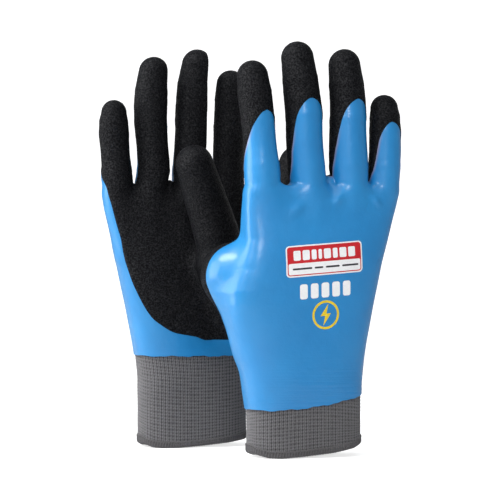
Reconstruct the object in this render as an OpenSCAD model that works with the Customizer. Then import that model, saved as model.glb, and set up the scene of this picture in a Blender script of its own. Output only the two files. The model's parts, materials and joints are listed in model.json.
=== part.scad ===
// A pair of coated work gloves standing on their cuffs with the fingers up.
// Each glove is a knitted lining and rib cuff, a full smooth coat, a second grippy coat over the
// palm and fingertips, and a printed label on the back of the hand. Both fit a right hand.
// One glove's own frame: +X to the little finger, +Y out of the palm, +Z to the fingertips,
// with the origin in the middle of the cuff's mouth. Sizes are in millimetres.
// The whole pair's origin is the middle of the front glove's cuff mouth, on the resting plane.

/* [Cuff] */
// Half width of the cuff across the hand (mm)
cuff_half_w = 35.5; // [30:0.5:42]
// Half depth of the cuff from the back of the hand to the palm (mm)
cuff_half_d = 19; // [15:0.5:24]
// Height of the overlocked hem (mm)
hem_h = 4.4; // [3:0.1:7]
// How far the hem stands out from the cuff (mm)
hem_proud = 0.7; // [0.2:0.1:1.5]
// Height at which the front glove's smooth coat ends on the cuff (mm)
front_coat_edge_z = 30; // [20:0.5:65]
// Height at which the rear glove's smooth coat ends on the cuff (mm)
rear_coat_edge_z = 58; // [20:0.5:65]

/* [Palm] */
// Half width of the palm just below the fingers (mm)
palm_half_w = 49.7; // [44:0.1:56]
// Half depth of the palm just below the fingers (mm)
palm_half_d = 15; // [12:0.5:18]
// How far the palm's middle leans to the little finger side below the fingers (mm)
palm_shift = 11.3; // [6:0.1:16]
// Height where the palm starts to widen above the wrist (mm)
wrist_z = 44; // [35:1:60]
// Height of the webs between the fingers (mm)
web_z = 164; // [158:0.5:168]
// Height of the knuckle hinges (mm)
knuckle_z = 177; // [172:0.5:180]
// Lowest point of the grip coat on the palm (mm)
grip_low_z = 69; // [60:1:80]

/* [Fingers] */
// Index finger's middle at the knuckle, across the hand (mm)
index_x = -27.2; // [-32:0.1:-22]
// Index finger's sideways lean (degrees, negative leans to the thumb side)
index_lean = -5.8; // [-10:0.1:4]
// Index finger's radius at its middle joint (mm)
index_r = 10.2; // [8:0.1:12]
// Height of the index finger's middle joint (mm)
index_mid_z = 204; // [195:0.5:212]
// Height of the index fingertip (mm)
index_tip_z = 242.5; // [230:0.5:255]
// Middle finger's middle at the knuckle, across the hand (mm)
middle_x = 2.6; // [-2:0.1:6]
// Middle finger's sideways lean (degrees)
middle_lean = -4.9; // [-8:0.1:4]
// Middle finger's radius at its middle joint (mm)
middle_r = 10.6; // [8:0.1:12]
// Height of the middle finger's middle joint (mm)
middle_mid_z = 208; // [200:0.5:216]
// Height of the middle fingertip (mm)
middle_tip_z = 255; // [240:0.5:268]
// Ring finger's middle at the knuckle, across the hand (mm)
ring_x = 30.1; // [26:0.1:34]
// Ring finger's sideways lean (degrees)
ring_lean = -3; // [-8:0.1:4]
// Ring finger's radius at its middle joint (mm)
ring_r = 10.3; // [8:0.1:12]
// Height of the ring finger's middle joint (mm)
ring_mid_z = 206; // [198:0.5:214]
// Height of the ring fingertip (mm)
ring_tip_z = 249.5; // [235:0.5:262]
// Little finger's middle at the knuckle, across the hand (mm)
little_x = 52.9; // [48:0.1:56]
// Little finger's sideways lean (degrees)
little_lean = 0.4; // [-5:0.1:8]
// Little finger's radius at its middle joint (mm)
little_r = 9; // [7:0.1:11]
// Height of the little finger's middle joint (mm)
little_mid_z = 199; // [194:0.5:204]
// Height of the little fingertip (mm)
little_tip_z = 222; // [212:0.5:235]
// Height where the bare strip on the index finger's back ends (mm)
index_bare_z = 211; // [205:0.5:225]
// Height where the bare strip on the middle finger's back ends (mm)
middle_bare_z = 219; // [210:0.5:235]
// Height where the bare strip on the ring finger's back ends (mm)
ring_bare_z = 218.5; // [210:0.5:232]
// Height where the bare strip on the little finger's back ends (mm)
little_bare_z = 205; // [198:0.5:215]
// Forward curl of the fingers above their middle joints (degrees)
tip_curl = 7; // [0:0.5:12]
// Forward lean of the fingers below their middle joints (degrees)
base_curl = 2; // [0:0.5:6]

/* [Thumb] */
// Radius of the thumb's root at its outer knuckle (mm)
thumb_root_r = 17.5; // [14:0.1:20]
// Radius of the thumb at its first hinge (mm)
thumb_base_r = 13.8; // [12:0.1:15]
// Radius of the thumb near its tip (mm)
thumb_tip_r = 11.3; // [9:0.1:13]
// Height of the thumb's first hinge (mm)
thumb_hinge_z = 138; // [134:0.5:142]
// Height of the thumb's second hinge (mm)
thumb_mid_z = 158.5; // [154:0.5:163]
// Height of the thumb's tip (mm)
thumb_tip_z = 191; // [180:0.5:200]

/* [Layers] */
// Thickness of the smooth coat with the knit bonded to it, on the fingers (mm)
finger_wall = 1.5; // [1:0.1:2.5]
// Thickness of the smooth coat on the palm (mm)
coat_t = 0.9; // [0.6:0.1:1.5]
// Thickness of the knitted lining (mm)
liner_t = 1.2; // [0.8:0.1:2]
// Thickness of the grip coat (mm)
grip_t = 0.6; // [0.4:0.1:1]
// Thickness of the printed film on the back (mm)
print_t = 0.3; // [0.2:0.05:0.5]
// Clearance kept between neighbouring layers (mm)
layer_gap = 0.15; // [0.1:0.05:0.3]

/* [Print] */
// Width of the label on the back of the hand (mm)
label_w = 50; // [30:1:55]
// Height of the label (mm)
label_h = 19; // [12:0.5:25]
// Height of the label's middle above the cuff's mouth (mm)
label_z = 120; // [110:1:140]
// Middle of the print across the hand (mm)
print_x = 7.5; // [0:0.5:12]
// Height of the row of marks under the label (mm)
marks_z = 101.4; // [95:0.1:115]
// Number of marks in the row
marks_n = 5; // [3:1:7]
// Outer radius of the ring emblem (mm)
emblem_r = 8.7; // [6:0.1:11]
// Height of the ring emblem's middle (mm)
emblem_z = 86.4; // [78:0.1:98]
// Slant of the print, rising to the little finger side (degrees)
print_tilt = 4.5; // [0:0.5:8]

/* [Pair] */
// Turn of both gloves about the upright direction (degrees)
pair_turn = 20; // [0:1:30]
// How far the rear glove stands to the left of the front one (mm)
rear_left = 70; // [60:1:140]
// How far the rear glove stands behind the front one (mm)
rear_back = 80; // [78:1:180]

/* [Motion clearances] */
// Half of the gap at each hinge line (mm)
hinge_gap = 0.15; // [0.1:0.05:0.3]
// Extra angle cut away at each crease beyond the hinge's range (degrees)
crease_spare = 5; // [2:1:10]
// Angle the fingers can bend back past straight (degrees)
back_bend = 5; // [0:1:10]

/* [Hidden] */
coat_colour = [0.16, 0.47, 0.75];
grip_colour = [0.12, 0.12, 0.14];
knit_colour = [0.42, 0.41, 0.43];
hem_colour = [0.33, 0.32, 0.34];
label_red = [0.78, 0.1, 0.14];
print_white = [0.92, 0.92, 0.92];
print_yellow = [0.95, 0.85, 0.15];

// Digits are numbered in this order in the lists below.
index_id = 0;
middle_id = 1;
ring_id = 2;
little_id = 3;
thumb_id = 4;

thumb_points = [
    [-30, 6, 62], [-38.5, 16, 107], [-11.5, 30, 118],
    [-4.2, 34.5, thumb_hinge_z], [3.8, 37.5, thumb_mid_z], [12, 40.5, thumb_tip_z - thumb_tip_r]
];
thumb_root_foot = thumb_points[0];
thumb_root_knuckle = thumb_points[1];
thumb_root_top = thumb_points[2];
thumb_waist = 0.1;
thumb_mid_r = (thumb_base_r + thumb_tip_r) / 2 - thumb_waist;

digit_x = [index_x, middle_x, ring_x, little_x];
digit_lean = [index_lean, middle_lean, ring_lean, little_lean];
digit_mid_z = [index_mid_z, middle_mid_z, ring_mid_z, little_mid_z];
digit_tip_z = [index_tip_z, middle_tip_z, ring_tip_z, little_tip_z];
bare_z = [index_bare_z, middle_bare_z, ring_bare_z, little_bare_z];
digit_mid_r = [index_r, middle_r, ring_r, little_r, thumb_mid_r];
knuckle_extra = 0.4;
tip_taper = 1.0;
digit_base_r = [index_r + knuckle_extra, middle_r + knuckle_extra, ring_r + knuckle_extra,
    little_r + knuckle_extra, thumb_base_r];
digit_tip_r = [index_r - tip_taper, middle_r - tip_taper, ring_r - tip_taper,
    little_r - tip_taper, thumb_tip_r];
knuckle_y = 1;

// Hinge limits in degrees: each digit's first hinge, then its second.
digit_base_max = [60, 40, 46, 65, 25];
digit_tip_max = [75, 45, 60, 80, 50];

// Hinge points and the middle of each rounded tip.
function base_point(k) = k == thumb_id ? thumb_points[3] : [digit_x[k], knuckle_y, knuckle_z];
function rise(k) = digit_mid_z[k] - knuckle_z;
function tip_rise(k) = digit_tip_z[k] - digit_tip_r[k] - digit_mid_z[k];
function mid_point(k) = k == thumb_id ? thumb_points[4] : base_point(k)
    + [rise(k) * tan(digit_lean[k]), rise(k) * tan(base_curl), rise(k)];
function tip_point(k) = k == thumb_id ? thumb_points[5] : mid_point(k)
    + [tip_rise(k) * tan(digit_lean[k]), tip_rise(k) * tan(tip_curl), tip_rise(k)];

// Palm cross-sections: a rounded oval whose middle, half width and half depth change with height.
top_z = web_z;
oval_power = 2.9;
oval_sides = 28;
loft_low_z = 18;
loft_steps = 9;
function clamp01(t) = min(1, max(0, t));
function climb(z) = clamp01((z - wrist_z) / (top_z - wrist_z));
function smooth(t) = t * t * (3 - 2 * t);
function widen(z) = (climb(z) + smooth(climb(z))) / 2;
function oval_x(z) = palm_shift * pow(climb(z), 1.4);
function oval_a(z) = cuff_half_w + (palm_half_w - cuff_half_w) * widen(z);
shoulder_z = 150;
shoulder_drop = 2.6;
function oval_b(z) = cuff_half_d + (palm_half_d - cuff_half_d) * climb(z)
    - shoulder_drop * pow(max(0, (z - shoulder_z) / (top_z - shoulder_z)), 2);
function sgn_pow(v, p) = sign(v) * pow(abs(v), p);
function oval(z, inset) = [for (i = [0:oval_sides - 1])
    let (t = 360 * i / oval_sides)
    [oval_x(z) + (oval_a(z) - inset) * sgn_pow(cos(t), 2 / oval_power),
     (oval_b(z) - inset) * sgn_pow(sin(t), 2 / oval_power), z]];

// Solid palm, inset from its outer surface, between two heights.
module palm_loft(inset, low, high) {
    levels = [for (s = [0:loft_steps]) low + (high - low) * s / loft_steps];
    points = [for (z = levels) each oval(z, inset)];
    n = oval_sides;
    sides = [for (s = [0:loft_steps - 1], i = [0:n - 1])
        let (j = (i + 1) % n)
        each [[s * n + i, (s + 1) * n + j, s * n + j], [s * n + i, (s + 1) * n + i, (s + 1) * n + j]]];
    floor_face = [for (i = [0:n - 1]) i];
    roof_face = [for (i = [n - 1:-1:0]) loft_steps * n + i];
    polyhedron(points, concat(sides, [floor_face, roof_face]));
}

// Flaring roots that carry the fingers up from inside the hand to the knuckle hinges.
root_fn = 24;
root_over = 4;
root_foot_z = 134;
root_foot_less = 7.5;
module finger_roots(inset) {
    for (k = [index_id:little_id]) translate([digit_x[k], knuckle_y, 0]) {
        r = digit_base_r[k] - inset;
        translate([0, 0, root_foot_z + inset])
            cylinder(h = web_z - root_foot_z - inset, r1 = max(0, r - root_foot_less), r2 = r, $fn = root_fn);
        translate([0, 0, web_z]) cylinder(h = knuckle_z + root_over - web_z, r = r, $fn = root_fn);
    }
}

// The swelling at the thumb's root, ending in a short tube at the thumb's first hinge.
ball_fn = 20;
thumb_foot_less = 3;
thumb_top_more = 0.8;
module ball(at, r) {
    translate(at) sphere(r = r, $fn = ball_fn);
}
module thumb_root(inset) {
    top_r = thumb_base_r + thumb_top_more - inset;
    hull() {
        ball(thumb_root_foot, thumb_root_r - thumb_foot_less - inset);
        ball(thumb_root_knuckle, thumb_root_r - inset);
        ball(thumb_root_top, top_r);
    }
    hull() {
        ball(thumb_root_top, top_r);
        ball(base_point(thumb_id), thumb_base_r - inset);
    }
}

module hand_solid(inset, low, high) {
    palm_loft(inset, low, high);
    finger_roots(inset);
    thumb_root(inset);
}

// Space kept free on each side of a hinge. The palm side of a digit opens into a V-shaped crease.
// The second hinge of the thumb creases toward the little finger side instead.
reach = 40;
far = 200;
back_spare = 2;
function crease(k, second) = ((second ? digit_tip_max[k] : digit_base_max[k]) + crease_spare) / 2;
back_slope = (back_bend + back_spare) / 2;
module wedge(k, second, up) {
    a = crease(k, second);
    side = up ? 1 : -1;
    width = 2 * reach;
    back_drop = hinge_gap + reach * tan(back_slope);
    crease_drop = hinge_gap + reach * tan(a);
    outline = [[-reach, side * width], [-reach, -side * back_drop], [0, -side * hinge_gap],
        [reach, -side * crease_drop], [reach, side * width]];
    turn_to(k, second) rotate([90, 0, 90]) translate([0, 0, -reach])
        linear_extrude(height = width) polygon(outline);
}
module turn_to(k, second) {
    at = second ? mid_point(k) : base_point(k);
    translate(at) rotate([0, 0, (k == thumb_id && second) ? -90 : 0]) children();
}

// Room for everything beyond the first hinges is cut out of the palm's layers.
root_spare = 1;
root_cut = [60, 40];
thumb_cut_low = 14;
thumb_cut_spare = 1.2;
thumb_cut_h = 60;
module cut_palm_hinges() {
    for (k = [index_id:little_id]) intersection() {
        wedge(k, false, true);
        translate([digit_x[k], knuckle_y, knuckle_z])
            cube([2 * (digit_base_r[k] + root_spare), root_cut[0], root_cut[1]], center = true);
    }
    intersection() {
        wedge(thumb_id, false, true);
        along(base_point(thumb_id), mid_point(thumb_id)) translate([0, 0, -thumb_cut_low])
            cylinder(h = thumb_cut_h, r = thumb_base_r + layer_gap + grip_t + thumb_cut_spare, $fn = root_fn);
    }
}

// One layer of the palm between two insets.
module palm_layer(outer, inner, low) {
    resize([0, 0, 0]) difference() {
        hand_solid(outer, low, top_z - outer);
        hand_solid(inner, low - 1, top_z - inner);
        cut_palm_hinges();
        below(low);
    }
}
module below(z) {
    translate([-far / 2, -far / 2, z - far]) cube(far);
}

liner_out = coat_t + layer_gap;
liner_in = liner_out + liner_t;
grip_in = -layer_gap;
grip_out = grip_in - grip_t;
print_in = -layer_gap;
print_out = print_in - print_t;

module coat_shape(edge_z) { palm_layer(0, coat_t, edge_z); }
liner_start = 0.3;
module liner_shape(edge_z) { palm_layer(liner_out, liner_in, edge_z + liner_start); }

// The grip coat's edge climbs from the palm's heel to the backs of the fingertips.
grip_edge_y = 5.3;
grip_slope = 0.115;
heel_z = 95;
heel_rise = 0.0045;
edge_step = 6;
edge_over = 8;
function dip_y(z) = z > knuckle_z ? grip_edge_y
    : grip_edge_y + grip_slope * (knuckle_z - z) + heel_rise * pow(max(0, heel_z - z), 2);
module grip_region() {
    edge = [for (z = [grip_low_z:edge_step:knuckle_z + edge_over]) [dip_y(z), z]];
    translate([-far / 2, 0, 0]) rotate([90, 0, 90]) linear_extrude(height = far)
        polygon(concat(edge, [[far, knuckle_z + edge_over], [far, grip_low_z]]));
}
module grip_shape() {
    resize([0, 0, 0]) intersection() {
        difference() {
            hand_solid(grip_out, grip_low_z - edge_over, top_z - grip_out);
            hand_solid(grip_in, grip_low_z - edge_over - 1, top_z - grip_in);
            cut_palm_hinges();
        }
        grip_region();
    }
}

// Cuff and hem are straight oval tubes.
cuff_sides = 36;
function flat_oval(inset) = [for (i = [0:cuff_sides - 1])
    let (t = 360 * i / cuff_sides)
    [(cuff_half_w - inset) * sgn_pow(cos(t), 2 / oval_power),
     (cuff_half_d - inset) * sgn_pow(sin(t), 2 / oval_power)]];
module oval_tube(outer, inner, low, high) {
    translate([0, 0, low]) linear_extrude(height = high - low) difference() {
        polygon(flat_oval(outer));
        polygon(flat_oval(inner));
    }
}
cuff_out = 0.5;
cuff_in = 2.4;
cuff_gap = 0.1;
cuff_top_gap = 0.2;
hem_inside = 0.3;
module cuff_shape(edge_z) { oval_tube(cuff_out, cuff_in, hem_h + cuff_gap, edge_z - cuff_top_gap); }
module hem_shape() { oval_tube(cuff_out - hem_proud, cuff_in + hem_inside, 0, hem_h); }

// Printed films lie on the back of the hand and follow its surface.
module print_film() {
    resize([0, 0, 0]) intersection() {
        difference() {
            palm_loft(print_out, loft_low_z, top_z);
            palm_loft(print_in, loft_low_z - 1, top_z + 1);
        }
        translate([print_x, 0, label_z]) rotate([90, -print_tilt, 0]) linear_extrude(height = far)
            translate([0, -label_z]) children();
    }
}
corner_r = 1.6;
corner_fn = 12;
module rounded_box(w, h, r) {
    hull() for (x = [-1, 1], y = [-1, 1])
        translate([x * (w / 2 - r), y * (h / 2 - r)]) circle(r = r, $fn = corner_fn);
}
panel_inset = 1.2;
panel_share = 0.36;
panel_gap = 0.15;
panel_r = 0.65;
panel_w = label_w - 2 * panel_inset;
panel_h = label_h * panel_share;
panel_z = label_z - label_h / 2 + panel_inset + panel_h / 2;
module label_plate_shape() {
    print_film() difference() {
        translate([0, label_z]) rounded_box(label_w, label_h, corner_r);
        translate([0, panel_z]) offset(delta = panel_gap) rounded_box(panel_w, panel_h, panel_r);
    }
}
module label_panel_shape() {
    print_film() translate([0, panel_z]) rounded_box(panel_w, panel_h, panel_r);
}
mark_w = 4.6;
mark_h = 8.8;
mark_pitch = 6.5;
mark_r = 1.4;
module rating_marks_shape() {
    print_film() for (i = [0:marks_n - 1])
        translate([(i - (marks_n - 1) / 2) * mark_pitch, marks_z]) rounded_box(mark_w, mark_h, mark_r);
}
ring_w = 1.4;
ring_fn = 40;
bolt = [[1.6, 5.6], [-3.6, -0.6], [-0.6, -0.6], [-1.6, -5.6], [3.6, 0.9], [0.5, 0.9]];
module emblem_shape() {
    print_film() translate([0, emblem_z]) {
        difference() {
            circle(r = emblem_r, $fn = ring_fn);
            circle(r = emblem_r - ring_w, $fn = ring_fn);
        }
        polygon(bolt);
    }
}

// Digits are tubes of revolution along the line between two hinge points.
module along(from, to) {
    d = to - from;
    len = norm(d);
    translate(from) rotate([0, acos(d[2] / len), atan2(d[1], d[0])]) children();
}
tube_spare = 16;
module digit_base_tube(k, out, inner) {
    len = norm(mid_point(k) - base_point(k));
    r0 = digit_base_r[k];
    r1 = digit_mid_r[k];
    slope = (r1 - r0) / len;
    low_r = r0 - slope * tube_spare;
    high_r = r1 + slope * tube_spare;
    along(base_point(k), mid_point(k)) rotate_extrude() polygon([
        [low_r - inner, -tube_spare], [low_r + out, -tube_spare],
        [high_r + out, len + tube_spare], [high_r - inner, len + tube_spare]]);
}
dome_steps = 5;
module digit_tip_tube(k, out, inner) {
    len = norm(tip_point(k) - mid_point(k));
    r0 = digit_mid_r[k];
    r1 = digit_tip_r[k];
    low_r = r0 + (r0 - r1) * tube_spare / len;
    dome = [for (i = [0:dome_steps]) [cos(90 * i / dome_steps), sin(90 * i / dome_steps)]];
    outer = [for (d = dome) [(r1 + out) * d[0], len + (r1 + out) * d[1]]];
    hollow = [for (i = [dome_steps:-1:0]) [(r1 - inner) * dome[i][0], len + (r1 - inner) * dome[i][1]]];
    along(mid_point(k), tip_point(k)) rotate_extrude()
        polygon(concat([[low_r + out, -tube_spare]], outer, hollow, [[low_r - inner, -tube_spare]]));
}

module digit_base_coat(k) {
    difference() {
        digit_base_tube(k, 0, finger_wall);
        wedge(k, false, false);
        wedge(k, true, true);
    }
}
module digit_tip_coat(k) {
    difference() {
        digit_tip_tube(k, 0, finger_wall);
        wedge(k, true, false);
    }
}

// On the fingers the grip coat covers the palm side and the whole tip. Its edge is a slanting plane
// that leaves a bare strip up the back, a little to the little finger side. The thumb is all grip.
strip_turn = 18;
strip_rise = 34;
module digit_grip_side(k) {
    if (k == thumb_id) {
        translate(mid_point(k)) cube(4 * reach, center = true);
    } else {
        low = bare_z[k] - strip_rise;
        at = base_point(k) + (mid_point(k) - base_point(k)) * (low - knuckle_z) / rise(k);
        translate(at) rotate([0, 0, strip_turn]) rotate([atan(digit_mid_r[k] / strip_rise), 0, 0])
            translate([-reach, 0, -2 * reach]) cube([2 * reach, 2 * reach, 5 * reach]);
    }
}
module digit_base_grip(k) {
    intersection() {
        difference() {
            digit_base_tube(k, layer_gap + grip_t, -layer_gap);
            wedge(k, false, false);
            wedge(k, true, true);
        }
        digit_grip_side(k);
    }
}
module digit_tip_grip(k) {
    intersection() {
        difference() {
            digit_tip_tube(k, layer_gap + grip_t, -layer_gap);
            wedge(k, true, false);
        }
        digit_grip_side(k);
    }
}

module place_front() {
    rotate([0, 0, pair_turn]) children();
}
module place_rear() {
    translate([-rear_left, rear_back, 0]) rotate([0, 0, 180 + pair_turn]) children();
}

module front_liner() { color(knit_colour) place_front() liner_shape(front_coat_edge_z); }
module front_coat() { color(coat_colour) place_front() coat_shape(front_coat_edge_z); }
module front_grip() { color(grip_colour) place_front() grip_shape(); }
module front_cuff() { color(knit_colour) place_front() cuff_shape(front_coat_edge_z); }
module front_hem() { color(hem_colour) place_front() hem_shape(); }
module front_label_plate() { color(label_red) place_front() label_plate_shape(); }
module front_label_panel() { color(print_white) place_front() label_panel_shape(); }
module front_rating_marks() { color(print_white) place_front() rating_marks_shape(); }
module front_emblem() { color(print_yellow) place_front() emblem_shape(); }
module front_index_base_coat() { color(coat_colour) place_front() digit_base_coat(index_id); }
module front_index_base_grip() { color(grip_colour) place_front() digit_base_grip(index_id); }
module front_index_tip_coat() { color(coat_colour) place_front() digit_tip_coat(index_id); }
module front_index_tip_grip() { color(grip_colour) place_front() digit_tip_grip(index_id); }
module front_middle_base_coat() { color(coat_colour) place_front() digit_base_coat(middle_id); }
module front_middle_base_grip() { color(grip_colour) place_front() digit_base_grip(middle_id); }
module front_middle_tip_coat() { color(coat_colour) place_front() digit_tip_coat(middle_id); }
module front_middle_tip_grip() { color(grip_colour) place_front() digit_tip_grip(middle_id); }
module front_ring_base_coat() { color(coat_colour) place_front() digit_base_coat(ring_id); }
module front_ring_base_grip() { color(grip_colour) place_front() digit_base_grip(ring_id); }
module front_ring_tip_coat() { color(coat_colour) place_front() digit_tip_coat(ring_id); }
module front_ring_tip_grip() { color(grip_colour) place_front() digit_tip_grip(ring_id); }
module front_little_base_coat() { color(coat_colour) place_front() digit_base_coat(little_id); }
module front_little_base_grip() { color(grip_colour) place_front() digit_base_grip(little_id); }
module front_little_tip_coat() { color(coat_colour) place_front() digit_tip_coat(little_id); }
module front_little_tip_grip() { color(grip_colour) place_front() digit_tip_grip(little_id); }
module front_thumb_base_coat() { color(coat_colour) place_front() digit_base_coat(thumb_id); }
module front_thumb_base_grip() { color(grip_colour) place_front() digit_base_grip(thumb_id); }
module front_thumb_tip_coat() { color(coat_colour) place_front() digit_tip_coat(thumb_id); }
module front_thumb_tip_grip() { color(grip_colour) place_front() digit_tip_grip(thumb_id); }
module rear_liner() { color(knit_colour) place_rear() liner_shape(rear_coat_edge_z); }
module rear_coat() { color(coat_colour) place_rear() coat_shape(rear_coat_edge_z); }
module rear_grip() { color(grip_colour) place_rear() grip_shape(); }
module rear_cuff() { color(knit_colour) place_rear() cuff_shape(rear_coat_edge_z); }
module rear_hem() { color(hem_colour) place_rear() hem_shape(); }
module rear_label_plate() { color(label_red) place_rear() label_plate_shape(); }
module rear_label_panel() { color(print_white) place_rear() label_panel_shape(); }
module rear_rating_marks() { color(print_white) place_rear() rating_marks_shape(); }
module rear_emblem() { color(print_yellow) place_rear() emblem_shape(); }
module rear_index_base_coat() { color(coat_colour) place_rear() digit_base_coat(index_id); }
module rear_index_base_grip() { color(grip_colour) place_rear() digit_base_grip(index_id); }
module rear_index_tip_coat() { color(coat_colour) place_rear() digit_tip_coat(index_id); }
module rear_index_tip_grip() { color(grip_colour) place_rear() digit_tip_grip(index_id); }
module rear_middle_base_coat() { color(coat_colour) place_rear() digit_base_coat(middle_id); }
module rear_middle_base_grip() { color(grip_colour) place_rear() digit_base_grip(middle_id); }
module rear_middle_tip_coat() { color(coat_colour) place_rear() digit_tip_coat(middle_id); }
module rear_middle_tip_grip() { color(grip_colour) place_rear() digit_tip_grip(middle_id); }
module rear_ring_base_coat() { color(coat_colour) place_rear() digit_base_coat(ring_id); }
module rear_ring_base_grip() { color(grip_colour) place_rear() digit_base_grip(ring_id); }
module rear_ring_tip_coat() { color(coat_colour) place_rear() digit_tip_coat(ring_id); }
module rear_ring_tip_grip() { color(grip_colour) place_rear() digit_tip_grip(ring_id); }
module rear_little_base_coat() { color(coat_colour) place_rear() digit_base_coat(little_id); }
module rear_little_base_grip() { color(grip_colour) place_rear() digit_base_grip(little_id); }
module rear_little_tip_coat() { color(coat_colour) place_rear() digit_tip_coat(little_id); }
module rear_little_tip_grip() { color(grip_colour) place_rear() digit_tip_grip(little_id); }
module rear_thumb_base_coat() { color(coat_colour) place_rear() digit_base_coat(thumb_id); }
module rear_thumb_base_grip() { color(grip_colour) place_rear() digit_base_grip(thumb_id); }
module rear_thumb_tip_coat() { color(coat_colour) place_rear() digit_tip_coat(thumb_id); }
module rear_thumb_tip_grip() { color(grip_colour) place_rear() digit_tip_grip(thumb_id); }

front_liner();
front_coat();
front_grip();
front_cuff();
front_hem();
front_label_plate();
front_label_panel();
front_rating_marks();
front_emblem();
front_index_base_coat();
front_index_base_grip();
front_index_tip_coat();
front_index_tip_grip();
front_middle_base_coat();
front_middle_base_grip();
front_middle_tip_coat();
front_middle_tip_grip();
front_ring_base_coat();
front_ring_base_grip();
front_ring_tip_coat();
front_ring_tip_grip();
front_little_base_coat();
front_little_base_grip();
front_little_tip_coat();
front_little_tip_grip();
front_thumb_base_coat();
front_thumb_base_grip();
front_thumb_tip_coat();
front_thumb_tip_grip();
rear_liner();
rear_coat();
rear_grip();
rear_cuff();
rear_hem();
rear_label_plate();
rear_label_panel();
rear_rating_marks();
rear_emblem();
rear_index_base_coat();
rear_index_base_grip();
rear_index_tip_coat();
rear_index_tip_grip();
rear_middle_base_coat();
rear_middle_base_grip();
rear_middle_tip_coat();
rear_middle_tip_grip();
rear_ring_base_coat();
rear_ring_base_grip();
rear_ring_tip_coat();
rear_ring_tip_grip();
rear_little_base_coat();
rear_little_base_grip();
rear_little_tip_coat();
rear_little_tip_grip();
rear_thumb_base_coat();
rear_thumb_base_grip();
rear_thumb_tip_coat();
rear_thumb_tip_grip();
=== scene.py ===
"""Two coated work gloves standing on their cuffs: the skins, knit, prints and light around the CAD frame."""

import json
import math

import bpy
import numpy as np
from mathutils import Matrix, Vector

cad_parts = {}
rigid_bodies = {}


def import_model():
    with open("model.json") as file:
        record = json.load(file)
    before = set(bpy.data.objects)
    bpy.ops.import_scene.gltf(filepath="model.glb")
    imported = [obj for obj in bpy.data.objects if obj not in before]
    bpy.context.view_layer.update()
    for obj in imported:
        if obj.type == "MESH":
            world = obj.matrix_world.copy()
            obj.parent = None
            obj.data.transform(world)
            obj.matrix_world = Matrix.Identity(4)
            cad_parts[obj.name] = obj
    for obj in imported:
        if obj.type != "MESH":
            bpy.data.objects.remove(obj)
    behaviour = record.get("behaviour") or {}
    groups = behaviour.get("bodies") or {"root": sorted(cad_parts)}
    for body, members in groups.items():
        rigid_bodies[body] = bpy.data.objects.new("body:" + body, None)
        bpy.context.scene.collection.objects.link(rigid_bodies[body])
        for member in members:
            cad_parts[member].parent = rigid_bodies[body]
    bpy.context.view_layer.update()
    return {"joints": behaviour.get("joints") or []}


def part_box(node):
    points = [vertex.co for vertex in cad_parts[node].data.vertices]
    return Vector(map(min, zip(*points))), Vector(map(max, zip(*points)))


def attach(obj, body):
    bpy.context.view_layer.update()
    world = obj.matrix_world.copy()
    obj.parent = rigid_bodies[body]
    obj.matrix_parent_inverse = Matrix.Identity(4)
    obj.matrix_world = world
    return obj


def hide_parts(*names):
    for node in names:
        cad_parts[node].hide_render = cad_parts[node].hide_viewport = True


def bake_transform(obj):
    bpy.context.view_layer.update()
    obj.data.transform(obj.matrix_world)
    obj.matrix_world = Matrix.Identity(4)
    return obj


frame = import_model()

MM = 0.001
FINGERS = ("index", "middle", "ring", "little")
SIDES = ("front", "rear")
JOINTS = {j["name"]: j for j in frame["joints"]}

# ---------------------------------------------------------------- one glove's own frame, in mm
# +X to the little finger, +Y out of the palm, +Z to the fingertips, origin in the cuff's mouth.


def glove_frame(side):
    """(3x3 turn, origin) that carry a glove's own millimetres into the row frame's millimetres."""
    ex = -np.array(JOINTS[f"{side}_index_knuckle"]["axis"], float)
    ez = np.array([0.0, 0.0, 1.0])
    low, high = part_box(f"{side}_hem")
    middle = (np.array(low) + np.array(high)) / 2 / MM
    return np.stack([ex, np.cross(ez, ex), ez], 1), np.array([middle[0], middle[1], 0.0])


TURN = {side: glove_frame(side) for side in SIDES}


def to_row(side, points):
    turn, origin = TURN[side]
    return (points @ turn.T + origin) * MM


def hinge(name):
    """A hinge's point in the front glove's own frame."""
    turn, origin = TURN["front"]
    return (np.array(JOINTS[f"front_{name}"]["pos_m"], float) / MM - origin) @ turn


# ---------------------------------------------------------------- shape of the hand, as distances
CUFF_A, CUFF_B = 36.2, 19.4
PALM_A, PALM_B = 49.4, 15.0
PALM_SHIFT = 11.5
WRIST_Z, WEB_Z = 44.0, 164.5
OVAL = 2.9
SQUARE = 1.3  # how much squarer the oval is on the thumb's side of the palm
THIN = 5.4  # how much the back and the palm each draw in towards the fingers
# extra width on the thumb's side: heights, then widths there
FLARE = ((28, 39, 54, 69, 82, 92, 100, 114, 132), (0, 1.9, 4.0, 7.4, 10.6, 12.0, 11.4, 4.2, 0))
TIP_Z = {"index": 242.0, "middle": 254.6, "ring": 249.2, "little": 221.4}
MID_R = {"index": 10.5, "middle": 11.2, "ring": 10.9, "little": 9.5}
ROOT_R = {"index": 10.7, "middle": 11.2, "ring": 11.0, "little": 9.8}
TIP_R = {"index": 9.1, "middle": 9.6, "ring": 9.3, "little": 8.2}
FLAT = 0.95  # a finger's depth as a share of its width
CURL = 7.0
RIDGE_Z = 124.0  # where the fingers' ridges fade into the back of the hand
RIDGE_IN = {"index": 6.0, "middle": 2.0, "ring": -2.5, "little": -8.0}


def smooth(t):
    t = np.clip(t, 0, 1)
    return t * t * (3 - 2 * t)


def soft_min(a, b, k):
    h = np.maximum(k - np.abs(a - b), 0) / k
    return np.minimum(a, b) - h * h * k / 4


def soft_max(a, b, k):
    return -soft_min(-a, -b, k)


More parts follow.
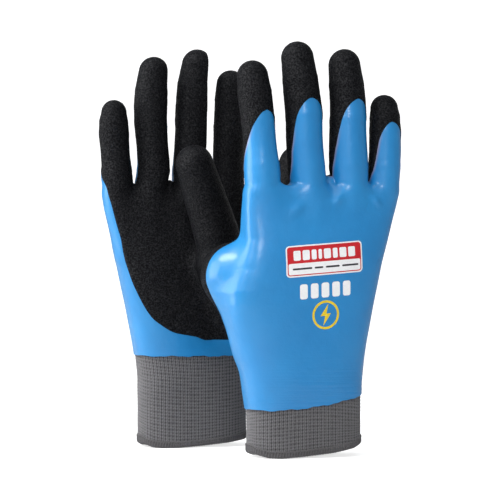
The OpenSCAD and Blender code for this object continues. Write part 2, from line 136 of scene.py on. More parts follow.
def finger_path(name):
    """Points and radii along a finger's middle line, from inside the palm to the middle of its round tip."""
    root, mid = hinge(f"{name}_knuckle"), hinge(f"{name}_middle")
    d = (mid - root) / (mid[2] - root[2])
    low = root + d * (RIDGE_Z - root[2]) + np.array([RIDGE_IN[name], 3.5, 0])
    base = root + d * (WEB_Z - root[2])
    tip_z = TIP_Z[name] - TIP_R[name]
    lean = math.tan(math.radians(CURL))
    rise = tip_z - mid[2]
    tip = mid + np.array([d[0] * rise, lean * rise, rise])
    near = mid + 0.62 * (tip - mid) - np.array([0, 0.35, 0])
    return (np.array([low, base, root, mid, near, tip]),
            np.array([ROOT_R[name] - 5.5, ROOT_R[name] - 0.1, ROOT_R[name], MID_R[name],
                      (MID_R[name] + TIP_R[name]) / 2 + 0.15, TIP_R[name]]))


THUMB_FOOT = np.array([-29.0, 7.0, 68.0])
THUMB_KNUCKLE = np.array([-38.9, 15.0, 109.5])
THUMB_TOP = np.array([-11.5, 30.0, 118.0])
THUMB_TIP = np.array([12.0, 40.5, 179.7])
THUMB_ROOT_R, THUMB_FOOT_R, THUMB_TIP_R = 18.3, 9.5, 11.4


def thumb_path():
    root, mid = hinge("thumb_knuckle"), hinge("thumb_middle")
    return (np.array([THUMB_TOP, root, mid, THUMB_TIP]), np.array([14.4, 13.7, 12.7, THUMB_TIP_R]))


PATHS = {name: finger_path(name) for name in FINGERS}
PATHS["thumb"] = thumb_path()


def tube(p, path, radii, flat=1.0, k=0.5):
    """Distance to a bent tube with changing radius and round ends."""
    best = None
    for (a, b), (ra, rb) in zip(zip(path[:-1], path[1:]), zip(radii[:-1], radii[1:])):
        ab = b - a
        t = np.clip((p - a) @ ab / (ab @ ab), 0, 1)
        q = p - (a + t[:, None] * ab)
        d = np.sqrt(q[:, 0] ** 2 + (q[:, 1] / flat) ** 2 + q[:, 2] ** 2) - (ra + (rb - ra) * t)
        best = d if best is None else soft_min(best, d, k)
    return best


def cone(p, a, b, ra, rb):
    return tube(p, np.array([a, b]), np.array([ra, rb]))


def profile(z):
    """Middle, half width and half depth of the palm's oval at each height."""
    t = np.clip((z - WRIST_Z) / (WEB_Z - WRIST_Z), 0, 1)
    widen = (t + smooth(t)) / 2
    a = CUFF_A + (PALM_A - CUFF_A) * widen
    b = CUFF_B + (PALM_B - CUFF_B) * t - THIN * smooth((z - 112) / 52)
    return PALM_SHIFT * t ** 1.4, a, b


WEBS = (("middle", "ring", 171.0, 4.2), ("ring", "little", 168.3, 3.2))


def palm(p):
    cx, a, b = profile(p[:, 2])
    x, y = p[:, 0] - cx, p[:, 1]
    a = np.where(x < 0, a + np.interp(p[:, 2], *FLARE), a)
    r = np.hypot(x, y) + 1e-6
    n = OVAL + SQUARE * smooth((p[:, 2] - 66) / 50) * smooth(-x / 20)
    q = (np.abs(x / a) ** n + np.abs(y / b) ** n) ** (1 / n)
    side = r * (1 - 1 / np.maximum(q, 1e-3))
    return soft_max(side, (p[:, 2] - WEB_Z) * 0.9, 16.0)


def ripple(p):
    """Small unevenness of a dipped skin over knit, with fine rings where the coat thins near the cuff."""
    x, y, z = p[:, 0], p[:, 1], p[:, 2]
    low = (np.sin(x * 0.11 + 1.3 + 0.9 * np.sin(z * 0.043)) * np.sin(z * 0.083 + 0.4)
           + 0.6 * np.sin(x * 0.21 + z * 0.05 + y * 0.1 + 2.0) * np.sin(z * 0.13 + x * 0.03))
    rings = np.sin(z * 2.1 + 1.1 * np.sin(x * 0.07) + 0.7 * np.sin(y * 0.11 + 1))
    rings = rings * np.exp(-((z - 38) / 16) ** 2)
    return 0.16 * low * smooth((175 - z) / 30) + 0.06 * rings


# short creases pushed up under the webs: x, z, slant in degrees, length, width, height
FOLDS = ((-8.5, 150.0, 42, 6.0, 2.9, 1.35), (19.5, 157.0, 45, 4.6, 2.7, 1.25),
         (44.5, 155.5, -50, 4.0, 2.1, 1.5))


def folds(p):
    x, y, z = p[:, 0], p[:, 1], p[:, 2]
    out = np.zeros(len(p))
    for fx, fz, slant, long, wide, high in FOLDS:
        c, s = math.cos(math.radians(slant)), math.sin(math.radians(slant))
        u, v = (x - fx) * c + (z - fz) * s, -(x - fx) * s + (z - fz) * c
        out += high * np.exp(-(u / long) ** 2 - (v / wide) ** 2)
    return out * smooth(-y / 5)


def skin(p):
    """Signed distance to the outer face of the smooth coat."""
    d = palm(p)
    web = 0.4 + 6 * smooth((WEB_Z + 1 - p[:, 2]) / 10)
    fingers = None
    for name in FINGERS:
        f = tube(p, *PATHS[name], flat=FLAT)
        fingers = f if fingers is None else soft_min(fingers, f, web)
    for a, b, top, r in WEBS:
        pa, pb = PATHS[a][0][1], PATHS[b][0][1]
        foot = (pa + pb) / 2 + np.array([0, 1.5, -14])
        fingers = soft_min(fingers, cone(p, foot, np.array([foot[0] + 0.4, foot[1], top - r]), r + 1, r), web)
    d = soft_min(d, fingers, 0.4 + 8.6 * smooth((WEB_Z + 8 - p[:, 2]) / 14))
    ball = soft_min(cone(p, THUMB_FOOT, THUMB_KNUCKLE, THUMB_FOOT_R, THUMB_ROOT_R),
                    cone(p, THUMB_KNUCKLE, THUMB_TOP, THUMB_ROOT_R, 14.8), 9.0)
    ball = soft_min(ball, cone(p, THUMB_FOOT, THUMB_TOP, THUMB_FOOT_R, 14.0), 9.0)
    d = soft_min(d, ball, 10.0)
    d = soft_min(d, tube(p, *PATHS["thumb"]), 4.0)
    return d + ripple(p) - folds(p)


def slope(p, h=0.3):
    g = np.empty_like(p)
    for i in range(3):
        e = np.zeros(3)
        e[i] = h
        g[:, i] = (skin(p + e) - skin(p - e)) / (2 * h)
    return g


def settle(p, rounds=3):
    for _ in range(rounds):
        g = slope(p)
        step = skin(p)[:, None] * g / np.maximum((g * g).sum(1), 0.2)[:, None]
        p = p - np.clip(step, -0.8, 0.8)
    return p


# ---------------------------------------------------------------- surface from distances
STEP = 1.15
GRID_LOW = np.array([-66.0, -26.0, 18.0])
GRID_HIGH = np.array([72.0, 60.0, 260.0])


def surface(field, low, high, step):
    """Quads over the zero level of a field, facing outwards."""
    axes = [np.arange(low[i], high[i] + step, step) for i in range(3)]
    n = [len(a) for a in axes]
    grid = np.empty(n, np.float32)
    for k in range(n[0]):
        yy, zz = np.meshgrid(axes[1], axes[2], indexing="ij")
        pts = np.stack([np.full(yy.size, axes[0][k]), yy.ravel(), zz.ravel()], 1)
        grid[k] = field(pts).reshape(n[1], n[2])
    inside = grid < 0
    cells = [m - 1 for m in n]
    total = np.zeros(cells + [3], np.float32)
    count = np.zeros(cells, np.int16)
    corner = [slice(0, -1), slice(1, None)]
    for axis in range(3):
        others = [a for a in range(3) if a != axis]
        for u in (0, 1):
            for v in (0, 1):
                at = [None] * 3
                at[others[0]], at[others[1]] = corner[u], corner[v]
                a, b = list(at), list(at)
                a[axis], b[axis] = corner[0], corner[1]
                fa, fb = grid[tuple(a)], grid[tuple(b)]
                mixed = (fa < 0) != (fb < 0)
                t = np.where(mixed, fa / np.where(mixed, fa - fb, 1), 0)
                total[..., others[0]] += mixed * u
                total[..., others[1]] += mixed * v
                total[..., axis] += np.where(mixed, t, 0)
                count += mixed
    live = count > 0
    index = -np.ones(cells, np.int64)
    index[live] = np.arange(live.sum())
    place = np.argwhere(live) + total[live] / count[live][:, None]
    verts = np.array(low) + place * step
    quads = []
    for axis in range(3):
        o1, o2 = [a for a in range(3) if a != axis]
        a = [slice(1, -1)] * 3
        b = [slice(1, -1)] * 3
        a[axis], b[axis] = slice(0, -1), slice(1, None)
        s, e = inside[tuple(a)], inside[tuple(b)]
        for flip in (False, True):
            hits = np.argwhere(s & ~e if not flip else ~s & e)
            if not len(hits):
                continue
            base = hits.copy()
            base[:, o1] += 1
            base[:, o2] += 1
            ring = []
            for u, v in ((0, 0), (1, 0), (1, 1), (0, 1)):
                c = base.copy()
                c[:, o1] -= u
                c[:, o2] -= v
                ring.append(index[c[:, 0], c[:, 1], c[:, 2]])
            q = np.stack(ring, 1)
            if flip != (axis == 1):
                q = q[:, ::-1]
            quads.append(q[(q >= 0).all(1)])
    quads = np.concatenate(quads)
    return verts, quads


def split_quads(verts, quads):
    a, b, c, d = (verts[quads[:, i]] for i in range(4))
    first = np.linalg.norm(a - c, axis=1) < np.linalg.norm(b - d, axis=1)
    t1 = np.where(first[:, None], quads[:, [0, 1, 2]], quads[:, [0, 1, 3]])
    t2 = np.where(first[:, None], quads[:, [0, 2, 3]], quads[:, [1, 2, 3]])
    return np.concatenate([t1, t2])


def edge_list(tris):
    return np.concatenate([tris[:, [0, 1]], tris[:, [1, 2]], tris[:, [2, 0]]])


def cut(verts, tris, field, settle_to=None, snap=0.18):
    """Splits triangles along field = 0. Returns the new mesh and each triangle's side (True above 0)."""
    verts = verts.copy()
    s = field(verts)
    edges = np.unique(np.sort(edge_list(tris), axis=1), axis=0)
    crossing = s[edges[:, 0]] * s[edges[:, 1]] < 0
    e = edges[crossing]
    t = s[e[:, 0]] / (s[e[:, 0]] - s[e[:, 1]])
    where = verts[e[:, 0]] + t[:, None] * (verts[e[:, 1]] - verts[e[:, 0]])
    near = [(t[i], e[i, 0], i) for i in np.flatnonzero(t < snap)]
    near += [(1 - t[i], e[i, 1], i) for i in np.flatnonzero(t > 1 - snap)]
    done = set()
    for _, v, i in sorted(near, key=lambda r: (r[0], r[1])):
        if v not in done:
            done.add(v)
            verts[v] = where[i]
            s[v] = 0.0
    crossing = s[e[:, 0]] * s[e[:, 1]] < 0
    e = e[crossing]
    t = s[e[:, 0]] / (s[e[:, 0]] - s[e[:, 1]])
    fresh = verts[e[:, 0]] + t[:, None] * (verts[e[:, 1]] - verts[e[:, 0]])
    if settle_to is not None and len(fresh):
        fresh = settle_to(fresh)
    made = {(int(a), int(b)): len(verts) + i for i, (a, b) in enumerate(e)}
    verts = np.concatenate([verts, fresh])
    s = np.concatenate([s, np.zeros(len(fresh))])
    sg = np.sign(s).astype(int)
    f = sg[tris]
    mixed = (f.max(1) > 0) & (f.min(1) < 0)
    keep, out = tris[~mixed], []
    for tri in tris[mixed]:
        poly, side = [], []
        for i in range(3):
            a, b = int(tri[i]), int(tri[(i + 1) % 3])
            poly.append(a)
            side.append(sg[a])
            m = made.get((min(a, b), max(a, b)))
            if m is not None:
                poly.append(m)
                side.append(0)
        zero = [i for i, v in enumerate(side) if v == 0]
        if len(zero) != 2:
            out.append(tri)
            continue
        i, j = zero
        for part in (poly[i:j + 1], poly[j:] + poly[:i + 1]):
            for k in range(1, len(part) - 1):
                out.append([part[0], part[k], part[k + 1]])
    tris = np.concatenate([keep, np.array(out, int).reshape(-1, 3)])
    sums = s[tris].sum(1)
    return verts, tris, sums > 0


def compact(verts, tris, *extra):
    used = np.unique(tris)
    remap = -np.ones(len(verts), int)
    remap[used] = np.arange(len(used))
    return (verts[used], remap[tris], *(x[used] for x in extra))


def vertex_normals(verts, tris):
    a, b, c = (verts[tris[:, i]] for i in range(3))
    n = np.cross(b - a, c - a)
    out = np.zeros_like(verts)
    for i in range(3):
        np.add.at(out, tris[:, i], n)
    return out / np.maximum(np.linalg.norm(out, axis=1), 1e-12)[:, None]


# ---------------------------------------------------------------- where the grip coat ends
STRIP_TOP = {"index": 210.6, "middle": 218.8, "ring": 218.2, "little": 204.6}
# degrees round from the middle finger's strip
TWIST = {"index": 7.0, "middle": 0.0, "ring": 4.0, "little": -6.0}
# Edges of a bare strip: the square root of the drop below its top in mm, then degrees round from the
# back.
INDEX_SIDE = ((0, 0.7, 1.2, 1.8, 2.7, 3.4, 4.1, 4.9, 5.5, 7.7),
              (17, 5, -4, -15, -32, -48, -64, -88, -106, -120))
THUMB_SIDE = ((0, 0.7, 1.2, 1.8, 2.8, 3.65, 4.5, 5.2, 5.7, 6.3, 7.7),
              (12, 3, -6, -17, -34, -46, -55, -61, -69, -77, -100))
OUTER_SIDE = ((0, 0.7, 1.05, 1.7, 2.4, 3.0, 3.9, 5.0, 6.3, 7.7), (12, 26, 34, 46, 59, 69, 77, 82, 95, 104))
WEB_BLEND = 12.0
THUMB_CLEAR_Y = 20.5  # above the webs, everything further out than this is thumb
VIEW = math.radians(20.0)  # the direction the palm's bare strip is measured across


def rounded(points, per=6):
    """A smooth curve through the points."""
    p = np.array(points, float)
    p = np.concatenate([[2 * p[0] - p[1]], p, [2 * p[-1] - p[-2]]])
    out = []
    for a, b, c, d in zip(p[:-3], p[1:-2], p[2:-1], p[3:]):
        for t in np.arange(per) / per:
            bend, twist = 2 * a - 5 * b + 4 * c - d, 3 * b - a - 3 * c + d
            out.append(0.5 * (2 * b + (c - a) * t + bend * t * t + twist * t ** 3))
    return np.array(out + [p[-2]])


# width of the bare strip beside the palm's grip coat, and the height there
STRIP = rounded([(2.2, 176.0), (2.7, 162.0), (3.8, 153.0), (5.0, 144.5), (6.0, 135.5), (6.8, 127.0),
                 (7.5, 118.0), (8.2, 109.0), (10.1, 100.5), (12.2, 92.0), (14.8, 86.0), (19.0, 80.0),
                 (26.5, 74.6), (36.0, 71.8), (50.0, 70.3), (70.0, 69.2), (95.0, 68.6)])


def beside(curve, u, v):
    """Signed distance to an open curve in a plane, positive on its left going along it."""
    best = np.full(len(u), 1e9)
    sign = np.ones(len(u))
    for (ax, ay), (bx, by) in zip(curve[:-1], curve[1:]):
        dx, dy = bx - ax, by - ay
        t = np.clip(((u - ax) * dx + (v - ay) * dy) / (dx * dx + dy * dy), 0, 1)
        d = np.hypot(u - ax - t * dx, v - ay - t * dy)
        near = d < best - 1e-9
        best = np.where(near, d, best)
        sign = np.where(near, np.where(dx * (v - ay) - dy * (u - ax) > 0, 1.0, -1.0), sign)
    return best * sign


def palm_edge(p):
    """Above zero on the grip side of the palm: a strip stays bare beside it, wide at the heel."""
    x, y, z = p[:, 0], p[:, 1], p[:, 2]
    cx, a, b = profile(z)
    c, s = math.cos(VIEW), math.sin(VIEW)
    q = OVAL / (OVAL - 1)
    rim = cx * c + ((a * c) ** q + (b * s) ** q) ** (1 / q)
    width = rim - (x * c - y * s)
    wave = 0.2 * np.sin(x * 0.13 + 1.0) + 0.15 * np.sin(x * 0.31 + z * 0.2)
    little_side = np.minimum(beside(STRIP, width, z) + wave, y - 1.0)
    thumb_side = np.minimum(y - (6.0 + 5.0 * smooth((170 - z) / 60)), z - 68.5 + wave)
    w = smooth((x + 4) / 8)
    return thumb_side * (1 - w) + little_side * w


def finger_edge(p, name):
    """Above zero on the grip side of a finger: everything but a pointed strip up its back."""
    z = p[:, 2]
    cx, cy = middle_line(name, z, 0), middle_line(name, z, 1)
    angle = np.arctan2(p[:, 0] - cx, -(p[:, 1] - cy))
    drop = STRIP_TOP[name] - z
    wobble = 0.012 * np.sin(z * 0.33 + MID_R[name] * 5)
    root = np.sqrt(np.maximum(drop, 0))
    twist = TWIST[name] * np.exp(-root / 5)
    early = np.radians(np.interp(root, *OUTER_SIDE) + twist)
    late = np.radians(np.interp(root, *(INDEX_SIDE if name == "index" else THUMB_SIDE)) + twist)
    r = MID_R[name]
    outside = np.maximum(angle - early, late - angle) + wobble
    return np.where(drop > 0, outside * r, np.maximum(-drop, outside * r))


def middle_line(name, z, axis):
    path = PATHS[name][0]
    return np.interp(z, path[:, 2], path[:, axis])


def finger_of(p):
    """Which finger's middle line each point is nearest to, sideways, at its own height."""
    gaps = [np.abs(p[:, 0] - middle_line(n, p[:, 2], 0)) / MID_R[n] for n in FINGERS]
    return np.argmin(gaps, axis=0)


def grip_edge(p):
    d = palm_edge(p)
    which = finger_of(p)
    fingers = np.zeros(len(p))
    for i, name in enumerate(FINGERS):
        m = which == i
        if m.any():
            fingers[m] = finger_edge(p[m], name)
    w = smooth((p[:, 2] - (WEB_Z - 1)) / WEB_BLEND)
    w = np.where(p[:, 1] > THUMB_CLEAR_Y, 0, w)
    return d * (1 - w) + fingers * w


COAT_EDGE = {"front": (31.0, 4.5, 2.6), "rear": (58.3, 0.3, 0.0)}
CUFF_TOP = {"front": 41.0, "rear": 62.5}  # hidden under the coat


def coat_edge(p, side):
    """Above zero where the smooth coat covers the knit."""
    base, rise, bow = COAT_EDGE[side]
    u = p[:, 0] / CUFF_A
    wave = 0.3 * np.sin(p[:, 0] * 0.35 + 1.2) + 0.18 * np.sin(p[:, 0] * 0.93 + p[:, 1] * 0.5)
    return p[:, 2] - (base + rise * u + bow * u * u + wave)


# ---------------------------------------------------------------- how the two gloves of the pair differ
DRIFT_Z = (118, 127, 134, 150, 165, 173, 180, 188, 196, 204, 212, 220, 234, 250)
# millimetres to the little finger's side, at the heights above
DRIFT = {"front": {"index": (0, 0, 0, 0, -0.2, 0.3, 0.6, 1.0, 1.1, 1.1, 1.2, 1.4, 1.8, 1.8),
                   "middle": (0, 0, 0, 0, 0, 0, 0, 0, 0.3, 1.0, 1.4, 1.5, 1.7, 1.9),
                   "ring": (0, 0, 0, 0, 0.1, 0.2, 0.4, 0.7, 1.1, 1.7, 2.4, 2.8, 2.9, 2.8),
                   "little": (0, 0, 0, 0, 0.6, 1.2, 1.6, 1.9, 1.9, 1.9, 1.9, 1.9, 1.9, 1.9)},
         "rear": {"index": (0, 0, 0, 0, 1.2, 2.5, 3.3, 4.2, 4.8, 5.3, 6.2, 7.0, 8.3, 8.3),
                  "middle": (0, 0, 0, 0, 0.1, 0.3, 0.4, 0.4, 0.4, 0.7, 1.2, 1.6, 2.3, 1.9),
                  "ring": (0, 0, 0, -0.5, -2.6, -3.8, -3.7, -2.6, -1.5, -0.4, 0.4, 1.0, 1.3, 0.8),
                  "little": (0, -0.6, -1.3, -1.9, -2.4, -1.7, -1.5, -0.9, -0.3, 0.1, 0.3, 0.3, 0.3, 0.3)}}
# millimetres added to the radius, none for a finger that isn't listed
GIRTH = {"front": {"index": (0, 0, 0, 0, 0.3, 0.4, -0.1, -0.7, -0.7, -0.6, -0.3, 0, 0, 0),
                   "ring": (0, 0, 0, 0, 0.3, 0.8, 0.9, 0.7, 0.4, 0.2, 0, 0, 0, 0)},
         "rear": {"index": (0, 0, 0, 0, -0.2, -0.7, -0.85, -0.85, -0.85, -0.85, -0.85, -0.7, -0.3, -0.3),
                  "middle": (0, 0, 0, 0, -0.2, -0.7, -0.85, -0.85, -0.85, -0.85, -0.6, -0.25, -0.2, -0.2),
                  "ring": (0, 0, 0, 0, -0.2, -0.7, -0.85, -0.85, -0.85, -0.6, -0.4, 0, -0.2, -0.4),
                  "little": (0, 0, 0, 0, 0, 0, -0.6, -0.8, -0.4, -0.2, -0.5, -0.6, -0.5, -0.5)}}


def shared(p, table):
    """A value set per finger and height, mixed across the hand and sharper above the webs."""
    same = (0,) * len(DRIFT_Z)
    curves = [rounded(list(zip(DRIFT_Z, table.get(name, same)))).T for name in FINGERS]
    rows = np.array([np.interp(p[:, 2], *curve) for curve in curves])
    middles = [PATHS[name][0][1][0] for name in FINGERS]
    place = np.interp(p[:, 0], middles, range(len(FINGERS)))
    low = np.minimum(place.astype(int), len(FINGERS) - 2)
    half = np.interp(p[:, 2], (160, 176), (0.5, 0.12))
    f = smooth(0.5 + (place - low - 0.5) / (2 * half))
    every = np.arange(len(p))
    return rows[low, every] * (1 - f) + rows[low + 1, every] * f


def ease(side, p, normals):
    """Small differences between the two gloves: how thick and how spread their fingers are.

    The front one's index and middle fingertips are also a little lower."""
    thumb = p[:, 1] > THUMB_CLEAR_Y
    out = p + normals * np.where(thumb, 0, shared(p, GIRTH[side]))[:, None]
    out[:, 0] += np.where(thumb, 0, shared(p, DRIFT[side]))
    if side == "front":
        out[:, 2] -= np.where(thumb, 0, 1.6 * smooth((p[:, 2] - 200) / 40) * smooth((14 - p[:, 0]) / 8))
    return out


# ---------------------------------------------------------------- meshes in Blender
MATERIALS = {}


def put(name, data):
    obj = bpy.data.objects.new(name, data)
    bpy.context.scene.collection.objects.link(obj)
    return obj


def add_mesh(name, side, verts, faces, normals=None, material=(), parts=None):
    """A mesh object in the row frame, with each point's resting place kept for its textures."""
    mesh = bpy.data.meshes.new(name)
    faces = np.asarray(faces)
    row = to_row(side, verts)
    mesh.vertices.add(len(row))
    mesh.vertices.foreach_set("co", row.astype(np.float32).ravel())
    n = faces.shape[1]
    mesh.loops.add(faces.size)
    mesh.loops.foreach_set("vertex_index", faces.ravel().astype(np.int32))
    mesh.polygons.add(len(faces))
    mesh.polygons.foreach_set("loop_start", (np.arange(len(faces)) * n).astype(np.int32))
    mesh.update(calc_edges=True)
    mesh.validate()
    rest = mesh.attributes.new("rest", "FLOAT_VECTOR", "POINT")
    rest.data.foreach_set("vector", verts.astype(np.float32).ravel())
    for m in material:
        mesh.materials.append(MATERIALS[m])
    if parts is not None:
        mesh.polygons.foreach_set("material_index", parts.astype(np.int32))
    mesh.polygons.foreach_set("use_smooth", np.ones(len(faces), bool))
    if normals is not None:
        turn, _ = TURN[side]
        mesh.normals_split_custom_set_from_vertices((normals @ turn.T).tolist())
    mesh.update()
    return put(name, mesh)


def on_palm(obj, side, node):
    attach(obj, f"{side}_palm")
    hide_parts(node)


def rim_edges(tris):
    """Directed edges that only one triangle uses."""
    e = edge_list(tris)
    key = np.sort(e, axis=1)
    _, inverse, counts = np.unique(key, axis=0, return_inverse=True, return_counts=True)
    return e[counts[inverse.ravel()] == 1]


def shell(outer, tris, normals, inner):
    """Closes an outer face with an inner one and a rim: points, triangles, normals, which are inner."""
    n = len(outer)
    rim = rim_edges(tris)
    sides = np.concatenate([np.stack([rim[:, 1], rim[:, 0], rim[:, 0] + n], 1),
                            np.stack([rim[:, 1], rim[:, 0] + n, rim[:, 1] + n], 1)])
    faces = np.concatenate([tris, tris[:, ::-1] + n, sides])
    parts = np.concatenate([np.zeros(len(tris)), np.ones(len(tris)), np.zeros(len(sides))])
    return np.concatenate([outer, inner]), faces, np.concatenate([normals, -normals]), parts


# ---------------------------------------------------------------- the skins, cut into pieces
THUMB_HALF = (7.0, 9.0)
FINGER_SPLIT = WEB_Z + 25.0
ROOT_CUT = WEB_Z + 7.3


def thumb_axis():
    root, mid = PATHS["thumb"][0][1], PATHS["thumb"][0][2]
    return root, mid, (mid - root) / np.linalg.norm(mid - root)


def thumb_reach(p):
    """Distance along the thumb past its first hinge, or far below for points that aren't on the thumb."""
    root, _, along = thumb_axis()
    t = (p - root) @ along
    off = np.linalg.norm(p - root - t[:, None] * along, axis=1)
    return np.where((off < 19.5) & (p[:, 1] > 14.0), t, -99.0)


THUMB_LONG = float(np.linalg.norm(PATHS["thumb"][0][2] - PATHS["thumb"][0][1]))
THUMB_CUTS = (-THUMB_HALF[0] - 0.5, THUMB_LONG - THUMB_HALF[1] - 1.0)


def regions(verts, tris):
    """Name of the piece each triangle belongs to, by its middle."""
    mid = verts[tris].mean(1)
    names = np.full(len(tris), "palm", dtype=object)
    which = finger_of(mid)
    reach = thumb_reach(mid)
    on_thumb = reach > -90
    for i, name in enumerate(FINGERS):
        mine = (which == i) & (mid[:, 2] > ROOT_CUT) & ~on_thumb
        names[mine] = f"{name}_base"
        names[mine & (mid[:, 2] > FINGER_SPLIT)] = f"{name}_tip"
    names[on_thumb & (reach > THUMB_CUTS[0])] = "thumb_base"
    names[on_thumb & (reach > THUMB_CUTS[1])] = "thumb_tip"
    return names


GRIP_T = 0.42
LINING_GAP = 0.4


def build_skin():
    verts, quads = surface(skin, GRID_LOW, GRID_HIGH, STEP)
    verts = settle(verts)
    return verts, split_quads(verts, quads)


def place_piece(obj, side, region):
    if region == "palm":
        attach(obj, f"{side}_palm")
    else:
        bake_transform(obj)


def cut_all(verts, tris, side):
    """The whole skin above the cuff, cut along every line between pieces."""
    verts, tris, above = cut(verts, tris, lambda p: coat_edge(p, side), settle)
    verts, tris = compact(verts, tris[above])
    verts, tris, _ = cut(verts, tris, grip_edge, settle)
    for z in (ROOT_CUT, FINGER_SPLIT):
        verts, tris, _ = cut(verts, tris, lambda p: np.where(thumb_reach(p) < -90, p[:, 2] - z, 50.0))
    for t in THUMB_CUTS:
        verts, tris, _ = cut(verts, tris, lambda p: thumb_reach(p) - t)
    return verts, tris


def skin_pieces(side, base_verts, base_tris):
    verts, tris = cut_all(base_verts, base_tris, side)
    s = grip_edge(verts)
    grip = grip_edge(verts[tris].mean(1)) > 0
    names = regions(verts, tris)
    sand = grain(verts)
    verts = ease(side, verts, vertex_normals(verts, tris))
    smooth_n = vertex_normals(verts, tris)
    rise = GRIP_T * smooth(np.clip(s, 0, None) / 1.1) + 0.03
    lifted = verts + smooth_n * (rise + sand * smooth(s / 2.5))[:, None]
    grip_n = vertex_normals(lifted, tris[grip])
    # a painted pale lilac highlight along the grip coat's edge on each finger's thumb side, from the webs
    # part way up
    which = finger_of(verts)
    middles = np.array([middle_line(n, verts[:, 2], 0) for n in FINGERS])
    radial = smooth((middles[which, np.arange(len(verts))] - verts[:, 0]) / 5)
    low, high = smooth((verts[:, 2] - 162) / 8), smooth((204 - verts[:, 2]) / 16)
    lip_highlight = np.exp(-(s / 1.1) ** 2) * radial * low * high
    made = []
    for layer, mask, outer, normals in (("coat", ~grip, verts, smooth_n), ("grip", grip, lifted, grip_n)):
        for region in sorted(set(names[mask])):
            t = tris[mask & (names == region)]
            if len(t) < 12:
                continue
            o, t, n, s_n, b, piece_lip_highlight = compact(outer, t, normals, smooth_n, verts, lip_highlight)
            points, faces, ns, parts = shell(o, t, n, b - s_n * 1.0)
            name = f"{side}_{region}_{layer}"
            obj = add_mesh(f"skin_{name}", side, points, faces, ns, (layer, "knit"), parts)
            if layer == "coat":
                # keeps the painted lip highlight for the coat's finish
                add_value(obj, "lip_highlight", np.concatenate([piece_lip_highlight, piece_lip_highlight]))
            place_piece(obj, side, region)
            node = f"{side}_{layer}" if region == "palm" else name
            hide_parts(node)
            made.append(node)
    # digits whose smooth coat is wholly under the grip coat
    for name in FINGERS + ("thumb",):
        for part in ("base", "tip"):
            node = f"{side}_{name}_{part}_coat"
            if node not in made:
                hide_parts(node)
    # knitted lining inside the palm, from just above the top of the cuff
    palm_t = tris[names == "palm"]
    v, t, above = cut(verts, palm_t, lambda p: p[:, 2] - CUFF_TOP[side] - LINING_GAP)
    n = vertex_normals(v, t)
    o, t, n = compact(v, t[above], n)
    points, faces, ns, _ = shell(o - n * 1.15, t, n, o - n * 2.1)
    obj = add_mesh(f"knit_{side}_lining", side, points, faces, ns, ("knit",))
    on_palm(obj, side, f"{side}_liner")


def grain(p):
    """Sandy height of the grip coat: crinkles about a millimetre across."""
    def wave(a, b, c, d):
        return np.sin(p[:, 0] * a + p[:, 1] * b + p[:, 2] * c + d)
    bump = (wave(3.1, 1.2, 2.3, 0.3) * wave(-1.7, 2.6, 2.9, 1.7)
            + wave(2.2, -3.3, 1.4, 4.1) * wave(1.1, 2.8, -3.5, 0.9)
            + 0.7 * wave(4.4, 3.9, -2.7, 2.2) * wave(-3.8, 4.7, 3.1, 5.0))
    return 0.05 * bump


# ---------------------------------------------------------------- the knitted cuff and its hem
WALE, COURSE = 2.45, 2.06
WALE_CELLS, COURSE_CELLS = 8, 5
INNER_ROWS = 9
CUFF_INSET = 1.05
HEM_H = 3.6
FINE = 4000  # steps round the oval when its length is measured
THREAD_PITCH, WIND_POINTS = 1.75, 16


def around(count, z=15.0):
    """Angles that walk round the cuff's oval in equal steps."""
    fine = np.linspace(0, 2 * math.pi, FINE + 1)
    x, y = oval_xy(fine, np.full(FINE + 1, z), 0.0)
    run = np.concatenate([[0], np.cumsum(np.hypot(np.diff(x), np.diff(y)))])
    return np.interp(np.arange(count) / count * run[-1], run, fine), run[-1]


def oval_xy(angle, z, inset):
    cx, a, b = profile(z)
    c, s = np.cos(angle), np.sin(angle)
    round_x, round_y = (np.sign(v) * np.abs(v) ** (2 / OVAL) for v in (c, s))
    return cx + (a - inset) * round_x, (b - inset) * round_y


HEM_LINE = {"front": ((-37, -34, -28, -20, -6, 13, 27, 33, 37), (6.0, 2.6, 0.6, 0, 0.9, 2.8, 5.2, 7.4, 9.6)),
            "rear": ((-37, -32, -20, 0, 14, 24, 30, 34, 37), (5.4, 4.4, 2.8, 0.9, 0, 0, 0.6, 2.4, 5.8))}


def hem_lift(side, x, z):
    """The hem's folded ends pull up a little, one more than the other, and the rows above follow."""
    return np.interp(x, *HEM_LINE[side]) * (1 - smooth(z / 26))


def cuff_wall(side, columns, rows, inset):
    """Points on the cuff's oval. rows holds heights; inset is one number or an array of rows by columns."""
    angle, _ = around(columns)
    zz, aa = np.meshgrid(rows, angle, indexing="ij")
    x, y = oval_xy(aa, zz, inset)
    sway = 0.25 * np.sin(x * 0.09 + zz * 0.11 + y * 0.05) + 0.15 * np.sin(zz * 0.31 + x * 0.05 + 1.0)
    sway = sway * smooth((COAT_EDGE[side][0] - zz) / 8)
    y = y + np.sign(y) * sway
    return np.stack([x, y, zz + hem_lift(side, x, zz)], 2)


def ring_faces(rows, columns):
    i, j = np.meshgrid(np.arange(rows - 1), np.arange(columns), indexing="ij")
    k = (j + 1) % columns
    a, b, c, d = i * columns + j, i * columns + k, (i + 1) * columns + k, (i + 1) * columns + j
    return np.stack([a, b, c, d], 2).reshape(-1, 4)


def closed_rings(rows, columns):
    """Quads over a stack of rings, with the last ring joined back to the first."""
    j = np.arange(columns)
    k, last = (j + 1) % columns, (rows - 1) * columns
    return np.concatenate([ring_faces(rows, columns), np.stack([last + j, last + k, k, j], 1)])


